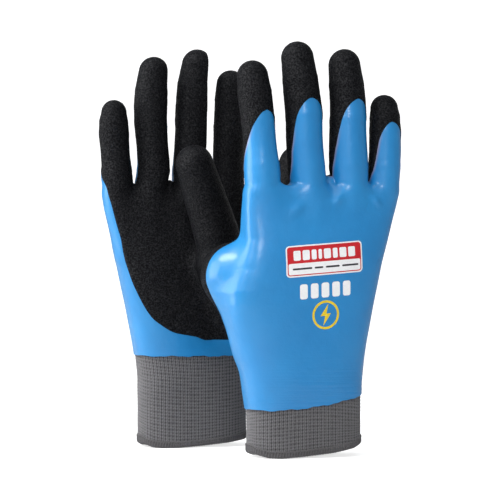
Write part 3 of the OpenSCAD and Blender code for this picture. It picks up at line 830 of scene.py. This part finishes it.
def stitch(wale, course):
    """Height of plain knitting, 0 to 1: two slanting yarns to each stitch with a hole between them."""
    u = wale - np.floor(wale) - 0.5
    across = (np.abs(u) - 0.25) / 0.25
    leg = course - 0.8 * np.abs(u) * 2
    along = (leg - np.floor(leg) - 0.5) / 0.5
    thick = 0.55 + 0.45 * np.sqrt(np.maximum(0, 1 - along ** 2))
    yarn = np.sqrt(np.maximum(0, 1 - 0.8 * across ** 2)) * thick
    v = course - np.floor(course) - 0.5
    hole = np.exp(-(u / 0.19) ** 2 - (v / 0.26) ** 2)
    return (yarn * (1 - 0.95 * hole)) ** 1.25


def add_value(obj, name, values):
    a = obj.data.attributes.new(name, "FLOAT", "POINT")
    a.data.foreach_set("value", np.asarray(values, np.float32))


def build_cuff(side):
    top = CUFF_TOP[side]
    _, length = around(8)
    wales = int(round(length / WALE))
    columns = wales * WALE_CELLS
    courses = int(round((top - HEM_H * 0.5) / COURSE))
    n_rows = courses * COURSE_CELLS + 1
    rows = np.linspace(HEM_H * 0.5, top, n_rows)
    wale = np.arange(columns)[None, :] / columns * wales + 0 * rows[:, None]
    slant = 2.0 * np.sin(np.arange(columns)[None, :] / columns * 2 * math.pi)
    course = (rows[:, None] - rows[0]) / COURSE + slant
    rib = 0.5 + 0.5 * np.cos(wale * math.pi)
    high = stitch(wale, course)
    inset = CUFF_INSET + 0.28 - 0.55 * high - 0.06 * rib
    outer = cuff_wall(side, columns, rows, inset)
    inner_rows = np.linspace(top, HEM_H * 0.5, INNER_ROWS)
    inner = cuff_wall(side, columns, inner_rows, CUFF_INSET + 1.5)
    points = np.concatenate([outer.reshape(-1, 3), inner.reshape(-1, 3)])
    total = n_rows + INNER_ROWS
    faces = closed_rings(total, columns)
    obj = add_mesh(f"knit_{side}_cuff", side, points, faces, material=("cuff",))
    # the cuff's colour follows the stitches' height: painted shade between the yarns and in the holes, times
    # a random tone per stitch
    uneven = 0.86 + 0.28 * np.abs(np.sin(np.floor(wale) * 12.9 + np.floor(course) * 7.8))
    shade_and_tone = np.concatenate([(high * uneven).ravel(), np.full(INNER_ROWS * columns, 0.6)])
    add_value(obj, "yarn", shade_and_tone)
    on_palm(obj, side, f"{side}_cuff")


def cord(path, radius, sides=6):
    """Points and quads of a round cord along a closed path."""
    t = np.roll(path, -1, 0) - np.roll(path, 1, 0)
    t /= np.linalg.norm(t, axis=1)[:, None]
    out = np.stack([path[:, 0], path[:, 1] * 2, 0.01 + 0 * path[:, 2]], 1)
    side_v = np.cross(t, out)
    side_v /= np.linalg.norm(side_v, axis=1)[:, None]
    up = np.cross(side_v, t)
    a = np.arange(sides) / sides * 2 * math.pi
    c, s = np.cos(a)[None, :, None], np.sin(a)[None, :, None]
    ring = path[:, None] + radius * (c * side_v[:, None] + s * up[:, None])
    return ring.reshape(-1, 3), closed_rings(len(path), sides)


def build_hem(side):
    """A folded band with thread wound over its edge and a lighter chain of thread along its top."""
    out_in, in_in = CUFF_INSET - 0.35, CUFF_INSET + 2.0
    corner = 0.9
    loop = []
    for (ci, cz, a0) in ((out_in + corner, HEM_H - corner, 90), (out_in + corner, corner, 180),
                         (in_in - corner, corner, 270), (in_in - corner, HEM_H - corner, 0)):
        for a in (0, 30, 60, 90):
            r = math.radians(a0 + a)
            loop.append((ci + corner * math.cos(r), cz + corner * math.sin(r)))
    loop = np.array(loop)
    columns = 424
    angle, length = around(columns)
    cells = np.tile(loop, (columns, 1))
    z = cells[:, 1]
    x, y = oval_xy(np.repeat(angle, len(loop)), z, cells[:, 0])
    points = np.stack([x, y, z + hem_lift(side, x, z) + 0.3], 1)
    m = len(loop)
    faces = closed_rings(columns, m)
    winds = int(round(length / THREAD_PITCH))
    step = np.arange(winds * WIND_POINTS)
    turn = step / len(step)
    phase = (step % WIND_POINTS) / WIND_POINTS
    k = phase * m
    k0 = np.floor(k).astype(int)
    f = (k - k0)[:, None]
    spot = loop[k0 % m] * (1 - f) + loop[(k0 + 1) % m] * f
    centre = loop.mean(0)
    spot = spot + (spot - centre) / np.linalg.norm(spot - centre, axis=1)[:, None] * 0.12
    fine = np.append(around(FINE)[0], 2 * math.pi)

    def angle_at(share):
        return np.interp(share * FINE, np.arange(FINE + 1), fine)

    lean = 0.55 * THREAD_PITCH / length * (spot[:, 1] / HEM_H)
    a = angle_at((turn + lean) % 1.0)
    x, y = oval_xy(a, spot[:, 1], spot[:, 0])
    wind = np.stack([x, y, spot[:, 1] + hem_lift(side, x, spot[:, 1]) + 0.3], 1)
    p1, f1 = cord(wind, 0.36)
    n_chain = winds * 8
    s = np.arange(n_chain) / n_chain
    a = angle_at(s)
    zc = HEM_H + 0.15 + 0.33 * np.sin(s * winds * 2 * math.pi)
    x, y = oval_xy(a, zc, CUFF_INSET - 0.45 + 0.15 * np.cos(s * winds * 4 * math.pi))
    chain = np.stack([x, y, zc + hem_lift(side, x, zc) + 0.3], 1)
    p2, f2 = cord(chain, 0.34)
    points = np.concatenate([points, p1, p2])
    n0, n1 = columns * m, columns * m + len(p1)
    every = np.concatenate([faces, f1 + n0, f2 + n1])
    parts = np.concatenate([np.zeros(len(faces)), np.ones(len(f1)), np.full(len(f2), 2)])
    points[:, 2] = np.maximum(points[:, 2], 0.02)
    obj = add_mesh(f"knit_{side}_hem", side, points, every, material=("hem", "thread", "chain"), parts=parts)
    on_palm(obj, side, f"{side}_hem")


# ---------------------------------------------------------------- the print on the back of the hand
PRINT_X, LABEL_Z, MARKS_Z, EMBLEM_Z = 7.5, 120.0, 101.4, 86.4
LABEL_W, LABEL_H = 50.0, 19.0
SLANT = math.tan(math.radians(4.5))  # the print rises to the little finger side


def on_back(uv, lift):
    """Points of the print, in its own millimetres, laid on the back of the hand."""
    x = PRINT_X + uv[:, 0]
    p = np.stack([x, np.full(len(x), -32.0), uv[:, 1] + uv[:, 0] * SLANT], 1)
    for _ in range(24):
        p[:, 1] += skin(p) * 0.95
    g = slope(p)
    n = g / np.linalg.norm(g, axis=1)[:, None]
    return p + n * lift, n


def spans(rows, across):
    """Points and triangles between a left and a right edge given row by row as (height, left, right)."""
    rows = np.array(rows)
    t = np.linspace(0, 1, across)
    u = rows[:, 1:2] * (1 - t) + rows[:, 2:3] * t
    v = np.repeat(rows[:, :1], across, 1)
    uv = np.stack([u.ravel(), v.ravel()], 1)
    i, j = np.meshgrid(np.arange(len(rows) - 1), np.arange(across - 1), indexing="ij")
    a = (i * across + j).ravel()
    across_up = a + across
    tris = [np.stack([a, a + 1, across_up + 1], 1), np.stack([a, across_up + 1, across_up], 1)]
    return uv, np.concatenate(tris)


def plate(cu, cv, w, h, r):
    """A rounded rectangle."""
    bend = np.linspace(0, math.pi / 2, 6)
    rows = []
    for a in bend:
        rows.append((cv - h / 2 + r * (1 - math.sin(a)), w / 2 - r * (1 - math.cos(a))))
    rows = sorted(rows)
    low = rows
    inner = max(2, int((h - 2 * r) / 1.0))
    mids = [(cv - h / 2 + r + (h - 2 * r) * (i + 1) / inner, w / 2) for i in range(inner - 1)]
    high = [(2 * cv - v, half) for v, half in low]
    every = sorted(low + mids + high)
    return spans([(v, cu - half, cu + half) for v, half in every], max(4, int(w / 1.2)))


def hoop(cu, cv, r0, r1, sides):
    a = np.arange(sides) / sides * 2 * math.pi
    r = np.linspace(r0, r1, 3)
    uv = np.stack([cu + (r[:, None] * np.cos(a)).ravel(), cv + (r[:, None] * np.sin(a)).ravel()], 1)
    q = ring_faces(3, sides)[:, ::-1]
    return uv, np.concatenate([q[:, [0, 1, 2]], q[:, [0, 2, 3]]])


def film(name, side, layers, node):
    """One printed piece: (points, triangles, lift, thickness, material) layers joined into one object."""
    points, faces, normals, parts, mats = [], [], [], [], []
    start = 0
    for uv, tris, lift, thick, mat in layers:
        base, n = on_back(uv, lift)
        a, b, c = (base[tris[:, i]] for i in range(3))
        facing = (np.cross(b - a, c - a) * n[tris[:, 0]]).sum(1) < 0
        tris = np.where(facing[:, None], tris[:, ::-1], tris)
        v, f, ns, _ = shell(base + n * thick, tris, n, base)
        if mat not in mats:
            mats.append(mat)
        points.append(v)
        normals.append(ns)
        faces.append(f + start)
        parts.append(np.full(len(f), mats.index(mat)))
        start += len(v)
    points, faces, normals, parts = (np.concatenate(x) for x in (points, faces, normals, parts))
    obj = add_mesh(name, side, points, faces, normals, mats, parts)
    on_palm(obj, side, node)


BAR_WIDTHS = (4.6, 4.6, 3.2, 2.2, 4.6, 3.2, 4.6, 4.6)  # plain bars on the red band
DASH_WIDTHS = (12.5, 5.5, 9.0, 11.0)  # plain dashes on the white panel
MARKS, MARK_PITCH, MARK_W, MARK_H = 5, 7.0, 5.0, 9.0
EMBLEM_R, EMBLEM_HOLE_R, EMBLEM_SIDES = 8.7, 7.3, 64
INK_LIFT, INK_T = 0.05, 0.06


def build_print(side):
    z = LABEL_Z
    border, line = 0.8, 0.65
    w1, h1 = LABEL_W - 2 * border, LABEL_H - 2 * border
    w2, h2 = w1 - 2 * line, h1 - 2 * line
    split = -1.3  # where the red band ends, up from the label's middle
    red_h = h2 / 2 - split
    red_mid = z + split + red_h / 2
    layers = [(*plate(0, z, LABEL_W, LABEL_H, 2.4), 0.05, 0.05, "white"),
              (*plate(0, z, w1, h1, 1.8), 0.10, 0.03, "red")]
    # plain bars where a maker's words would be
    bars, u = [], -w2 / 2 + 3.4
    for width in BAR_WIDTHS:
        bars.append((*plate(u + width / 2, red_mid, width, 6.0, 0.9), 0.13, 0.03, "white"))
        u += width + 1.25
    film(f"print_{side}_label_plate", side, layers + bars, f"{side}_label_plate")
    white_h = h2 / 2 + split
    white_mid = z - h2 / 2 + white_h / 2
    dashes, u = [], -w2 / 2 + 2.6
    for width in DASH_WIDTHS:
        dashes.append((*plate(u + width / 2, white_mid, width, 1.1, 0.5), 0.18, 0.03, "ink"))
        u += width + 1.7
    white = [(*plate(0, white_mid, w2, white_h, 1.1), 0.14, 0.04, "white")]
    film(f"print_{side}_label_panel", side, white + dashes, f"{side}_label_panel")
    marks = [(*plate((i - MARKS // 2) * MARK_PITCH, MARKS_Z, MARK_W, MARK_H, 1.4), INK_LIFT, INK_T, "white")
             for i in range(MARKS)]
    film(f"print_{side}_rating_marks", side, marks, f"{side}_rating_marks")
    e = EMBLEM_Z

    def on_line(v, v0, u0, v1, u1):
        return u0 + (u1 - u0) * (v - v0) / (v1 - v0)

    def bolt(low, high, left, right):
        return spans([(e + v, on_line(v, *left), on_line(v, *right)) for v in np.linspace(low, high, 6)], 5)

    rise_left, fall_right = (-0.6, -3.4, 6.4, 1.7), (-6.4, -1.6, 0.7, 3.4)
    shapes = (hoop(0, e, EMBLEM_HOLE_R, EMBLEM_R, EMBLEM_SIDES),
              bolt(-6.4, -0.6, (-6.4, -1.65, -0.6, -0.4), fall_right),
              bolt(-0.6, 0.7, rise_left, fall_right),
              bolt(0.7, 6.4, rise_left, (0.7, 0.5, 6.4, 1.75)))
    emblem = [(*shape, INK_LIFT, INK_T, "yellow") for shape in shapes]
    film(f"print_{side}_emblem", side, emblem, f"{side}_emblem")


# ---------------------------------------------------------------- finishes
def finish_of(name, colour, rough):
    m = bpy.data.materials.new(name)
    m.use_nodes = True
    t = m.node_tree
    b = t.nodes["Principled BSDF"]
    b.inputs["Base Color"].default_value = (*colour, 1)
    b.inputs["Roughness"].default_value = rough
    MATERIALS[name] = m
    at = t.nodes.new("ShaderNodeAttribute")
    at.attribute_name = "rest"
    return t, b, at.outputs["Vector"]


def value_of(t, name):
    """A number kept with each point of the mesh."""
    n = t.nodes.new("ShaderNodeAttribute")
    n.attribute_name = name
    return n.outputs["Fac"]


def noise(t, vector, scale, detail=2.0, rough=0.5):
    n = t.nodes.new("ShaderNodeTexNoise")
    n.inputs["Scale"].default_value = scale
    n.inputs["Detail"].default_value = detail
    n.inputs["Roughness"].default_value = rough
    t.links.new(vector, n.inputs["Vector"])
    return n.outputs["Fac"]


def remap(t, value, low, high, out_low=0.0, out_high=1.0):
    n = t.nodes.new("ShaderNodeMapRange")
    n.inputs["From Min"].default_value = low
    n.inputs["From Max"].default_value = high
    n.inputs["To Min"].default_value = out_low
    n.inputs["To Max"].default_value = out_high
    t.links.new(value, n.inputs["Value"])
    return n.outputs["Result"]


def sums(t, kind, a, b):
    n = t.nodes.new("ShaderNodeMath")
    n.operation = kind
    for i, v in enumerate((a, b)):
        if isinstance(v, (int, float)):
            n.inputs[i].default_value = v
        else:
            t.links.new(v, n.inputs[i])
    return n.outputs["Value"]


def mixed(t, factor, a, b):
    n = t.nodes.new("ShaderNodeMix")
    n.data_type = "RGBA"
    t.links.new(factor, n.inputs["Factor"])
    for i, v in ((6, a), (7, b)):
        if isinstance(v, tuple):
            n.inputs[i].default_value = (*v, 1)
        else:
            t.links.new(v, n.inputs[i])
    return n.outputs[2]


def bump(t, b, height, depth_mm, strength=1.0):
    n = t.nodes.new("ShaderNodeBump")
    n.inputs["Strength"].default_value = strength
    n.inputs["Distance"].default_value = depth_mm * MM
    t.links.new(height, n.inputs["Height"])
    t.links.new(n.outputs["Normal"], b.inputs["Normal"])
    return n.outputs["Normal"]


# name, dark colour (painted shade between the cuff's stitches, the darker fuzz on the other yarns), colour of
# the yarn
YARNS = (("cuff", (0.004, 0.004, 0.005), (0.19, 0.185, 0.195)),
         ("hem", (0.05, 0.047, 0.05), (0.12, 0.115, 0.12)),
         ("thread", (0.07, 0.068, 0.072), (0.13, 0.125, 0.13)),
         ("chain", (0.08, 0.078, 0.08), (0.15, 0.145, 0.15)))
# name, fresh ink, worn ink
INKS = (("red", (0.62, 0.012, 0.02), (0.5, 0.014, 0.024)),
        ("white", (0.95, 0.95, 0.96), (0.86, 0.87, 0.88)),
        ("yellow", (0.85, 0.62, 0.02), (0.75, 0.56, 0.04)),
        ("ink", (0.03, 0.03, 0.035), (0.06, 0.06, 0.07)))


def coat_finish():
    # smooth rubber coat: even blue with faint clouding, a soft gloss and slight unevenness
    t, b, v = finish_of("coat", (0.03, 0.26, 0.62), 0.3)
    cloud = noise(t, v, 0.035, 3.0)
    blue = mixed(t, remap(t, cloud, 0.3, 0.7), (0.010, 0.222, 0.550), (0.013, 0.255, 0.605))
    # paints a pale lilac highlight along the grip coat's edge, where the lip value is high
    lip_highlight = sums(t, "MULTIPLY", value_of(t, "lip_highlight"), 0.9)
    t.links.new(mixed(t, lip_highlight, blue, (0.30, 0.27, 0.40)), b.inputs["Base Color"])
    t.links.new(remap(t, noise(t, v, 0.12, 4.0), 0.3, 0.7, 0.36, 0.5), b.inputs["Roughness"])
    b.inputs["Coat Weight"].default_value = 0.5
    b.inputs["Coat Roughness"].default_value = 0.2
    fine = sums(t, "ADD", noise(t, v, 0.18, 3.0), sums(t, "MULTIPLY", noise(t, v, 1.1, 2.0), 0.12))
    # fine level rings where the coat thins towards the cuff
    flat = t.nodes.new("ShaderNodeVectorMath")
    flat.operation = "MULTIPLY"
    flat.inputs[1].default_value = (0.05, 0.05, 1.0)
    t.links.new(v, flat.inputs[0])
    place = t.nodes.new("ShaderNodeSeparateXYZ")
    t.links.new(v, place.inputs[0])
    near_cuff = remap(t, place.outputs["Z"], 72, 34, 0.0, 0.9)
    fine = sums(t, "ADD", fine, sums(t, "MULTIPLY", noise(t, flat.outputs["Vector"], 0.9, 2.0), near_cuff))
    bump(t, b, fine, 0.5, 0.6)


def grip_finish():
    # sandy grip coat: crinkled black, painted a little lighter on the crests as a highlight on the grains
    t, b, v = finish_of("grip", (0.012, 0.013, 0.015), 0.6)
    cell = t.nodes.new("ShaderNodeTexVoronoi")
    cell.feature = "SMOOTH_F1"
    cell.inputs["Scale"].default_value = 1.05
    t.links.new(v, cell.inputs["Vector"])
    sand = noise(t, v, 1.3, 5.0, 0.65)
    height = sums(t, "ADD", sums(t, "MULTIPLY", cell.outputs["Distance"], 0.5), sand)
    # lighter on the crests: a painted highlight on the sand grains
    black = mixed(t, remap(t, height, 0.45, 1.05), (0.0018, 0.002, 0.0027), (0.0085, 0.009, 0.0115))
    t.links.new(black, b.inputs["Base Color"])
    t.links.new(remap(t, height, 0.6, 1.05, 0.05, 0.38), b.inputs["Specular IOR Level"])
    t.links.new(remap(t, noise(t, v, 0.5, 3.0), 0.3, 0.7, 0.42, 0.6), b.inputs["Roughness"])
    bump(t, b, height, 0.5, 1.0)


def knit_finishes():
    # plain-knit lining
    t, b, v = finish_of("knit", (0.30, 0.32, 0.36), 0.9)
    loops = t.nodes.new("ShaderNodeTexWave")
    loops.inputs["Scale"].default_value = 0.25
    loops.inputs["Distortion"].default_value = 1.0
    t.links.new(v, loops.inputs["Vector"])
    t.links.new(mixed(t, loops.outputs["Fac"], (0.2, 0.22, 0.26), (0.36, 0.38, 0.42)), b.inputs["Base Color"])
    bump(t, b, loops.outputs["Fac"], 0.3, 0.8)

    # cuff yarn: grey-brown, with painted shade between the stitches and in their holes, and fuzz
    for name, dark, light in YARNS:
        t, b, v = finish_of(name, light, 0.9)
        fuzz = noise(t, v, 2.4, 4.0, 0.7)
        if name == "cuff":
            # the yarn value carries the painted shade between the stitches
            shade_and_tone = sums(t, "MULTIPLY", value_of(t, "yarn"), remap(t, fuzz, 0.3, 0.7, 0.75, 1.1))
        else:
            shade_and_tone = remap(t, fuzz, 0.3, 0.7)
        t.links.new(mixed(t, shade_and_tone, dark, light), b.inputs["Base Color"])
        b.inputs["Sheen Weight"].default_value = 0.25
        bump(t, b, fuzz, 0.12, 0.8)


def print_finishes():
    # print inks, slightly worn
    for name, colour, worn in INKS:
        t, b, v = finish_of(name, colour, 0.4)
        wear = remap(t, noise(t, v, 0.8, 5.0, 0.7), 0.45, 0.75)
        t.links.new(mixed(t, wear, colour, worn), b.inputs["Base Color"])
        t.links.new(remap(t, noise(t, v, 0.3, 3.0), 0.3, 0.7, 0.35, 0.5), b.inputs["Roughness"])
        bump(t, b, noise(t, v, 0.9, 3.0), 0.06, 0.5)


# ---------------------------------------------------------------- build
coat_finish()
grip_finish()
knit_finishes()
print_finishes()
skin_verts, skin_tris = build_skin()
for side in SIDES:
    skin_pieces(side, skin_verts, skin_tris)
    build_cuff(side)
    build_hem(side)
    build_print(side)


# ---------------------------------------------------------------- floor, light and camera
def sweep():
    """A floor that curves up into a wall behind."""
    depth = [(-4.0, 0.0), (1.2, 0.0)]
    for a in np.linspace(0, math.pi / 2, 16)[1:]:
        depth.append((1.2 + 1.2 * math.sin(a), 1.2 * (1 - math.cos(a))))
    depth.append((2.4, 4.0))
    verts, faces = [], []
    for y, z in depth:
        verts += [(-4, y, z), (4, y, z)]
    for i in range(len(depth) - 1):
        faces.append((2 * i, 2 * i + 1, 2 * i + 3, 2 * i + 2))
    mesh = bpy.data.meshes.new("floor")
    mesh.from_pydata(verts, [], faces)
    mesh.polygons.foreach_set("use_smooth", [True] * len(faces))
    m = bpy.data.materials.new("floor")
    m.use_nodes = True
    t = m.node_tree
    b = t.nodes["Principled BSDF"]
    b.inputs["Base Color"].default_value = (0.8, 0.8, 0.8, 1)
    b.inputs["Roughness"].default_value = 0.9
    b.inputs["Specular IOR Level"].default_value = 0.1
    b.inputs["Emission Color"].default_value = (1, 1, 1, 1)
    seen = t.nodes.new("ShaderNodeLightPath")
    lift = sums(t, "MULTIPLY", seen.outputs["Is Camera Ray"], 0.72)
    t.links.new(lift, b.inputs["Emission Strength"])
    mesh.materials.append(m)
    return put("floor", mesh)


def panel(name, place, target, size, power):
    light = bpy.data.lights.new(name, "AREA")
    light.shape = "RECTANGLE"
    light.size, light.size_y = size
    light.energy = power
    obj = put(name, light)
    obj.location = place
    obj.rotation_euler = (Vector(target) - Vector(place)).to_track_quat("-Z", "Y").to_euler()
    return obj


world = bpy.data.worlds.new("studio")
bpy.context.scene.world = world
world.use_nodes = True
wt = world.node_tree
path = wt.nodes.new("ShaderNodeLightPath")
dim = wt.nodes["Background"]
dim.inputs["Color"].default_value = (0.96, 0.98, 1, 1)
dim.inputs["Strength"].default_value = 0.28
bright = wt.nodes.new("ShaderNodeBackground")
bright.inputs["Color"].default_value = (1, 1, 1, 1)
bright.inputs["Strength"].default_value = 1.0
choose = wt.nodes.new("ShaderNodeMixShader")
wt.links.new(path.outputs["Is Camera Ray"], choose.inputs["Fac"])
wt.links.new(dim.outputs["Background"], choose.inputs[1])
wt.links.new(bright.outputs["Background"], choose.inputs[2])
wt.links.new(choose.outputs["Shader"], wt.nodes["World Output"].inputs["Surface"])
LENS, CAMERA_AT, LOOK_UP = 165.3, (-0.0326, -1.4, 0.118), 0.31
aim = (0, 0, 0.12)
sweep()
panel("key", (-0.75, -1.25, 1.15), aim, (0.36, 0.36), 7.8)
panel("left", (-1.2, -0.15, 0.3), aim, (0.8, 1.1), 11.5)
panel("upper_left", (-0.85, -0.3, 1.25), aim, (0.5, 0.5), 13)
panel("front_strip", (0.12, -1.4, 0.85), aim, (0.28, 0.4), 4.5)
panel("top", (0.1, -0.3, 1.6), aim, (1.2, 0.8), 3)

camera = put("camera", bpy.data.cameras.new("camera"))
camera.data.lens = LENS
camera.data.sensor_width = 36
camera.location = CAMERA_AT
camera.rotation_euler = (math.radians(90 + LOOK_UP), 0, 0)
bpy.context.scene.camera = camera
bpy.context.scene.view_settings.view_transform = "Standard"
bpy.context.scene.view_settings.look = "None"
